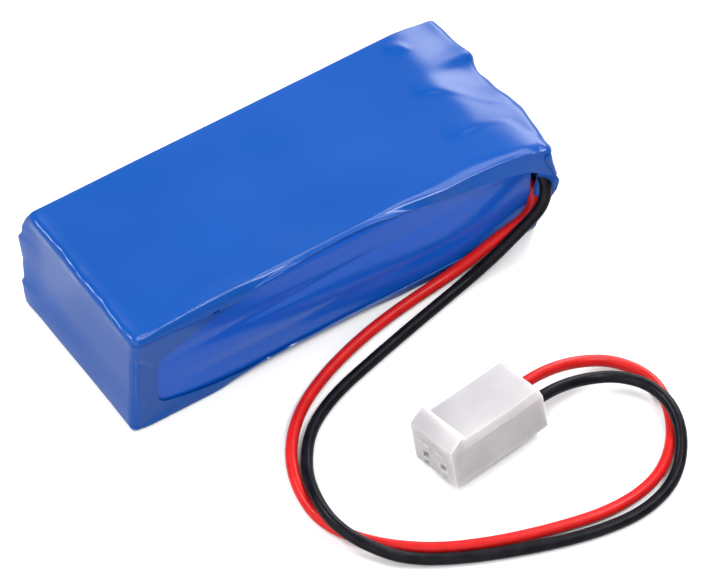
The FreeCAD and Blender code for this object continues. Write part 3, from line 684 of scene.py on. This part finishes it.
# The ridge above the leads stands out by the first value, and sinks by the second at its end.
RIDGE = (1.6, 0.5)
# The foot of the -X end swells by the first value, and by the second more on the far side.
END_SWELL = (0.2, 0.25)
# Shares of the flare's size that go along X and along Y.
FLARE_SHARE = (0.5, 0.95)


def minus_x_end(x, y, z):
    """Shifts at the -X end: bead along the top edge, flared far edge, pinch, swollen foot."""
    scallops = 1.0 + 0.3 * np.sin(0.62 * y + 0.9) + 0.16 * np.sin(1.7 * y)
    bead = BEAD * scallops * np.exp(-(((x + HALF_LENGTH) ** 2 + (z - HEIGHT) ** 2) / 0.9))
    bead *= smooth(HALF_WIDTH - np.abs(y), 0.2, 1.4)
    flare = table(z, FLARE) * bell(x, -HALF_LENGTH, 1.2) * bell(y, HALF_WIDTH, 2.2)
    crease = bell(z - 0.1 * np.sin(x), PINCH_HEIGHT, 0.35)
    pinch = crease * bell(x, -34.0, 2.4) * smooth(-y, 12.0, 13.9)
    foot = smooth(-x, *END_FACE) * (1.0 - smooth(z, 2.0, 9.0))
    swell = (END_SWELL[0] + END_SWELL[1] * smooth(y, -6.0, 8.0)) * foot
    dx = PINCH[0] * pinch - bead - FLARE_SHARE[0] * flare - swell
    dy = PINCH[1] * pinch + FLARE_SHARE[1] * flare
    return dx, dy, 0.8 * bead


def near_side(x, y, z, on_top):
    """Shift across the pack: lip over the leads' exit, ridge above it, and the lower edge."""
    near = smooth(-y, 12.0, 14.1)
    lip = LIP * near * smooth(x, *LIP_GROWS) * smooth(z, 8.0, 16.0)
    reach = RIDGE[0] * smooth(x, *RIDGE_GROWS) - RIDGE[1] * smooth(x, *RIDGE_SINKS)
    ridge = reach * smooth(-y, 9.5, 12.4) * on_top
    swell = SIDE_SWELL * near * smooth(-x, 17.0, 22.0) * (1.0 - smooth(z, 1.0, 5.0))
    swell *= smooth(HALF_LENGTH + x, 0.0, 3.0)
    turned = near * smooth(x, -19.0, -15.0) * (1.0 - 0.8 * smooth(x, 2.0, 12.0))
    turned *= TURNED_UNDER * (1.0 - smooth(z, 0.0, 1.6))
    return turned - lip - ridge - swell


def film_shape(place):
    """How far the shrunk film lies from its plain points, in millimetres."""
    x, y, z = place[..., 0], place[..., 1], place[..., 2]
    up = np.clip(z / HEIGHT, 0.0, 1.0)
    on_top = smooth(up, 0.75, 0.97)
    dx, dy, dz = minus_x_end(x, y, z)
    dy += near_side(x, y, z, on_top)
    dy += FAR_OVERHANG * smooth(y, 11.0, 14.0) * on_top
    dx += soft_table(y, END_REACH, 0.3) * smooth(x, 29.0, 35.2) * up**1.5
    dz -= end_fall(x, y) * up**2
    for line, height, left, right in END_FOLDS:
        dz += on_top * fold(x, y, line, height, left, right)
    for line, height, width in WRINKLES:
        dz += on_top * fold(x, y, line, height, width, width)
    # The +X end is gathered where the film closed over it.
    gather = waves(11, place * np.array([0.4, 1.0, 0.6]), 4.0)
    dx += GATHER * gather * smooth(x, 34.2, 35.2) * smooth(HALF_WIDTH - np.abs(y), 0.0, 2.0)
    dz += UNEVEN_TOP * waves(3, place, 16.0) * on_top
    dx += UNEVEN_END * waves(5, place, 9.0) * smooth(-x, *END_FACE)
    return np.stack([dx, dy, dz], axis=-1)


# The rounding of the near top edge widens towards the lip and stops part of the way round.
LIP_ANGLE = [
    (-40.0, 90.0), (-21.0, 90.0), (-14.6, 58.0), (-9.5, 32.0), (-5.0, 18.0), (3.0, 15.0),
    (7.0, 24.0), (9.5, 34.0), (13.0, 33.0), (20.0, 30.0), (31.0, 32.0), (36.0, 62.0),
]


# The bottom edge's rounding, plain and where the film is turned under, and how much wider the
# top edge's is in the middle of the ridge.
BOTTOM_ROUNDING = (0.6, 1.5)
EXTRA_ROUNDING = 2.0


def near_rounding(points, normals, radii):
    """Radius and end angle of the rounding between the ring and the near side."""
    along = points[:, 0]
    on_top = smooth(normals[:, 1], 0.15, 1.0)
    below = smooth(-normals[:, 1], 0.15, 1.0)
    plain, turned_under = BOTTOM_ROUNDING
    under = smooth(along, -20.0, -15.0) * (1.0 - smooth(along, 0.0, 10.0))
    bottom_radius = plain + (turned_under - plain) * under
    wanted = NEAR_EDGE_RADIUS + EXTRA_ROUNDING * bell(along, 22.0, 9.0) * on_top
    wanted += (bottom_radius - wanted) * below
    turn_angle = 90.0 + (table(along, LIP_ANGLE) - 90.0) * on_top
    return edge_radii(wanted, radii), np.radians(turn_angle)


# Loops of the film in its far and near roundings, from one to the other, and in each rim.
TURN_STEPS = (8, 11)
TOP_STEPS = 72
RIM_STEPS = 16


def outer_film():
    """The outer sleeve: a band round the pack whose two edges are shrunk over the sides."""
    points, normals, turn, radii = ring()
    near_radius, near_angle = near_rounding(points, normals, radii)
    far_radius = edge_radii(FAR_EDGE_RADIUS, radii)
    near_edge = window_ring(NEAR_EDGE, turn)
    far_edge = window_ring(FAR_EDGE, turn)
    no_inset = np.zeros(len(points))

    def band(y, inset):
        """One loop of the film at that y, set in from the ring by that much."""
        place = points - normals * inset[:, None]
        flat = np.stack([place[:, 0], y, place[:, 1]], axis=1)
        return flat + film_shape(flat)

    def turned(sign, radius, angle):
        """A loop in the rounding between the ring and a side, that angle from the ring."""
        return band(
            sign * (HALF_WIDTH - radius * (1.0 - np.sin(angle))), radius * (1.0 - np.cos(angle))
        )

    def rim(edge, start):
        """Loops from the free edge to the end of the rounding."""
        shares = np.linspace(1.0, 0.0, RIM_STEPS)[:-1] ** 1.2
        return [start * (1.0 - share) + edge * share for share in shares]

    far_steps, near_steps = TURN_STEPS
    far_angles = np.radians(np.linspace(90.0, 0.0, far_steps))
    far_turn = [turned(1.0, far_radius, angle) for angle in far_angles]
    near_parts = np.linspace(0.0, 1.0, near_steps)
    near_turn = [turned(-1.0, near_radius, near_angle * part) for part in near_parts]
    far_end, near_end = HALF_WIDTH - far_radius, near_radius - HALF_WIDTH
    top = [
        band(far_end * (1.0 - share) + near_end * share, no_inset)
        for share in np.linspace(0.0, 1.0, TOP_STEPS)[1:-1]
    ]
    far_rim = rim(far_edge, far_turn[0])
    near_rim = rim(near_edge, near_turn[-1])[::-1]
    return np.stack(far_rim + far_turn + top + near_turn + near_rim, axis=1)


def grid_mesh(name, grid):
    """A quad mesh from rows of points in millimetres, the last row joined to the first."""
    rows, columns = grid.shape[:2]
    faces = []
    for row in range(rows):
        here, after = row * columns, (row + 1) % rows * columns
        for j in range(columns - 1):
            faces.append((here + j, here + j + 1, after + j + 1, after + j))
    mesh = bpy.data.meshes.new(name)
    mesh.from_pydata((grid.reshape(-1, 3) * MM).tolist(), [], faces)
    work = bmesh.new()
    work.from_mesh(mesh)
    bmesh.ops.recalc_face_normals(work, faces=work.faces)
    work.to_mesh(mesh)
    work.free()
    return mesh


def film_piece(name, grid, thickness, slot, node):
    """A film of that thickness, inward from the grid, in place of a CAD sleeve."""
    mesh = grid_mesh(name, grid)
    centre = Vector((0.0, 0.0, HEIGHT * MM / 2))
    middle = mesh.polygons[len(mesh.polygons) // 2]
    if (middle.center - centre).dot(middle.normal) < 0:
        mesh.flip_normals()
    carrier = link(bpy.data.objects.new(name + "_carrier", mesh))
    skin = carrier.modifiers.new("thickness", "SOLIDIFY")
    skin.thickness = thickness * MM
    skin.offset = -1.0
    solid = apply_modifiers(carrier)
    bpy.data.objects.remove(carrier)
    piece = mesh_object(name, solid, slot, 50)
    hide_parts(node)


# The inner film lies within the outer one, and ends short of its two ends.
WALL_GAP = 0.08
BOTTOM_GAP = 0.05
INNER_CORNER = 1.4
INNER_START = -HALF_LENGTH + 0.5
INNER_END = 33.2
INNER_STEPS = 120
INNER_FLAT_STEP = 0.45
# How far it bulges over the cell edges, and how deep its two long grooves are.
BULGE = 0.28
GROOVES = (0.16, 0.12)


def inner_section():
    """Points (y, z) of the inner film's section with their outward normals, in order."""
    half_width = HALF_WIDTH - OUTER_FILM - WALL_GAP - INNER_CORNER
    low = OUTER_FILM + BOTTOM_GAP + INNER_CORNER
    high = HEIGHT - OUTER_FILM - WALL_GAP - INNER_CORNER
    centres = ((-half_width, low), (-half_width, high), (half_width, high), (half_width, low))
    section = []
    last = np.array([half_width, low - INNER_CORNER])
    for centre, start_angle in zip(np.array(centres), (270, 180, 90, 0)):
        start = math.radians(start_angle)
        normal = np.array([math.cos(start), math.sin(start)])
        first = centre + INNER_CORNER * normal
        count = max(2, int(np.linalg.norm(first - last) / INNER_FLAT_STEP))
        for k in range(count):
            section.append((*(last + (first - last) * k / count), *normal))
        for k in range(CORNER_STEPS + 1):
            angle = start - math.radians(90) * k / CORNER_STEPS
            normal = np.array([math.cos(angle), math.sin(angle)])
            last = centre + INNER_CORNER * normal
            section.append((*last, *normal))
        section.pop()
    return np.array(section)


def inner_film():
    """The inner sleeve: a tube round the cells, open at both ends."""
    section = inner_section()
    along = np.linspace(INNER_START, INNER_END, INNER_STEPS)
    grid = np.zeros((len(section), len(along), 3))
    grid[..., 0] = along[None, :]
    grid[..., 1] = section[:, 0:1]
    grid[..., 2] = section[:, 1:2]
    outward = np.zeros_like(grid)
    outward[..., 1] = section[:, 2:3]
    outward[..., 2] = section[:, 3:4]
    x, z = grid[..., 0], grid[..., 2]
    side = np.abs(outward[..., 1]) ** 2
    bulge = BULGE * bell(z, 10.5, 5.5) * smooth(-np.abs(x), -31.0, -18.0)
    upper, lower = GROOVES
    grooves = -upper * bell(z, 13.6 + 0.03 * x, 1.1) - lower * bell(z, 6.6 + 0.01 * x, 1.2)
    push = side * (bulge + grooves * smooth(-np.abs(x), -31.0, -22.0))
    grid += outward * push[..., None]
    grid[..., 2] -= 1.05 * end_fall(x, grid[..., 1]) * smooth(z, 4.0, 20.0)
    return grid


# ---------------------------------------------------------------- building

make_plug()
film_piece("outer_film", outer_film(), OUTER_FILM, "sleeve_film", "outer_sleeve")
film_piece("inner_film", inner_film(), INNER_FILM, "inner_film", "inner_sleeve")
for lead_row in LEADS:
    make_lead(*lead_row)


# ---------------------------------------------------------------- stage, light, camera


FLOOR_HALF = 3.0


def make_floor():
    size = FLOOR_HALF
    corners = [(-size, -size, 0), (size, -size, 0), (size, size, 0), (-size, size, 0)]
    mesh = bpy.data.meshes.new("floor")
    mesh.from_pydata(corners, [], [(0, 1, 2, 3)])
    pale, paler = (0.49, 0.49, 0.49), (0.51, 0.51, 0.51)
    mesh.materials.append(finish_material("floor_white", pale, paler, (0.9, 1.0), 20.0, 0.0))
    link(bpy.data.objects.new("floor", mesh))


# Radiance of the sky against the height of the direction.
SKY = [(0.0, 0.55), (0.45, 0.55), (0.62, 0.35), (0.80, 0.15), (1.0, 0.15)]
# Radiance of two broad glows against the cosine of the angle from their middle: a window behind the
# pack, that the fallen end of the film reflects, and a pale wall beside it.
BEHIND_GLOW = [
    (0.0, 0.0), (0.80, 0.0), (0.85, 0.3), (0.885, 0.9), (0.92, 1.6),
    (0.955, 4.5), (0.978, 10.0), (0.992, 17.0), (1.0, 18.0),
]
BEHIND = (0.72, 0.51, 0.48)
BESIDE_GLOW = [(0.0, 0.0), (0.4, 0.0), (0.75, 2.6), (1.0, 4.4)]
BESIDE = (-0.80, -0.45, 0.40)


def grey_ramp(tree, factor, rows):
    """A ramp of grey levels: rows are (position, level)."""
    return ramp(tree, factor, [(at, (level, level, level)) for at, level in rows])


def glow(tree, where, middle, rows):
    """Light that depends on the direction's angle from a middle direction."""
    turned = tree.nodes.new("ShaderNodeVectorMath")
    turned.operation = "DOT_PRODUCT"
    tree.links.new(where.outputs["Generated"], turned.inputs[0])
    turned.inputs[1].default_value = Vector(middle).normalized()
    return grey_ramp(tree, turned.outputs["Value"], rows)


def added(tree, first, second):
    """The sum of two colours."""
    mixer = tree.nodes.new("ShaderNodeMix")
    mixer.data_type = "RGBA"
    mixer.blend_type = "ADD"
    mixer.inputs["Factor"].default_value = 1.0
    tree.links.new(first, mixer.inputs["A"])
    tree.links.new(second, mixer.inputs["B"])
    return mixer.outputs["Result"]


def make_world():
    """Pale low down like a studio sweep, darker overhead, with the two glows added."""
    world = bpy.data.worlds.new("studio")
    world.use_nodes = True
    SCENE.world = world
    tree = world.node_tree
    where = tree.nodes.new("ShaderNodeTexCoord")
    split = tree.nodes.new("ShaderNodeSeparateXYZ")
    tree.links.new(where.outputs["Generated"], split.inputs["Vector"])
    overall = grey_ramp(tree, split.outputs["Z"], SKY)
    behind = glow(tree, where, BEHIND, BEHIND_GLOW)
    beside = glow(tree, where, BESIDE, BESIDE_GLOW)
    colour = added(tree, overall, added(tree, behind, beside))
    background = tree.nodes["Background"]
    tree.links.new(colour, background.inputs["Color"])
    background.inputs["Strength"].default_value = 1.0


LIGHT_DISTANCE = 0.9
# Name, direction from the pack, size in metres and power in watts.
SOFTBOXES = (
    ("broad_front", (0.36, 0.06, 0.93), (0.32, 0.26), 3.5),
    ("strip_front", (0.36, -0.34, 0.86), (0.40, 0.09), 7.0),
    ("strip_back", (-0.38, 0.50, 0.78), (0.30, 0.16), 8.0),
)


def softbox(name, towards, size, power):
    """An area light in that direction from the pack, turned to face it."""
    lamp = bpy.data.lights.new(name, "AREA")
    lamp.shape = "RECTANGLE"
    lamp.size, lamp.size_y = size
    lamp.energy = power
    light = link(bpy.data.objects.new(name, lamp))
    direction = Vector(towards).normalized()
    light.location = direction * LIGHT_DISTANCE
    light.rotation_mode = "QUATERNION"
    light.rotation_quaternion = direction.to_track_quat("Z", "Y")


CAMERA_PLACE = (-0.38177, -0.56521, 0.86308)
CAMERA_ANGLES = (38.105, -1.132, -33.415)
CAMERA_LENS = 385.0


def make_camera():
    camera = bpy.data.cameras.new("camera")
    camera.sensor_width = 36.0
    camera.lens = CAMERA_LENS
    camera.clip_start, camera.clip_end = 0.05, 50.0
    view = link(bpy.data.objects.new("camera", camera))
    view.location = CAMERA_PLACE
    view.rotation_euler = degrees(*CAMERA_ANGLES)
    SCENE.camera = view


make_floor()
make_world()
for box_row in SOFTBOXES:
    softbox(*box_row)
make_camera()
SCENE.view_settings.view_transform = "Standard"
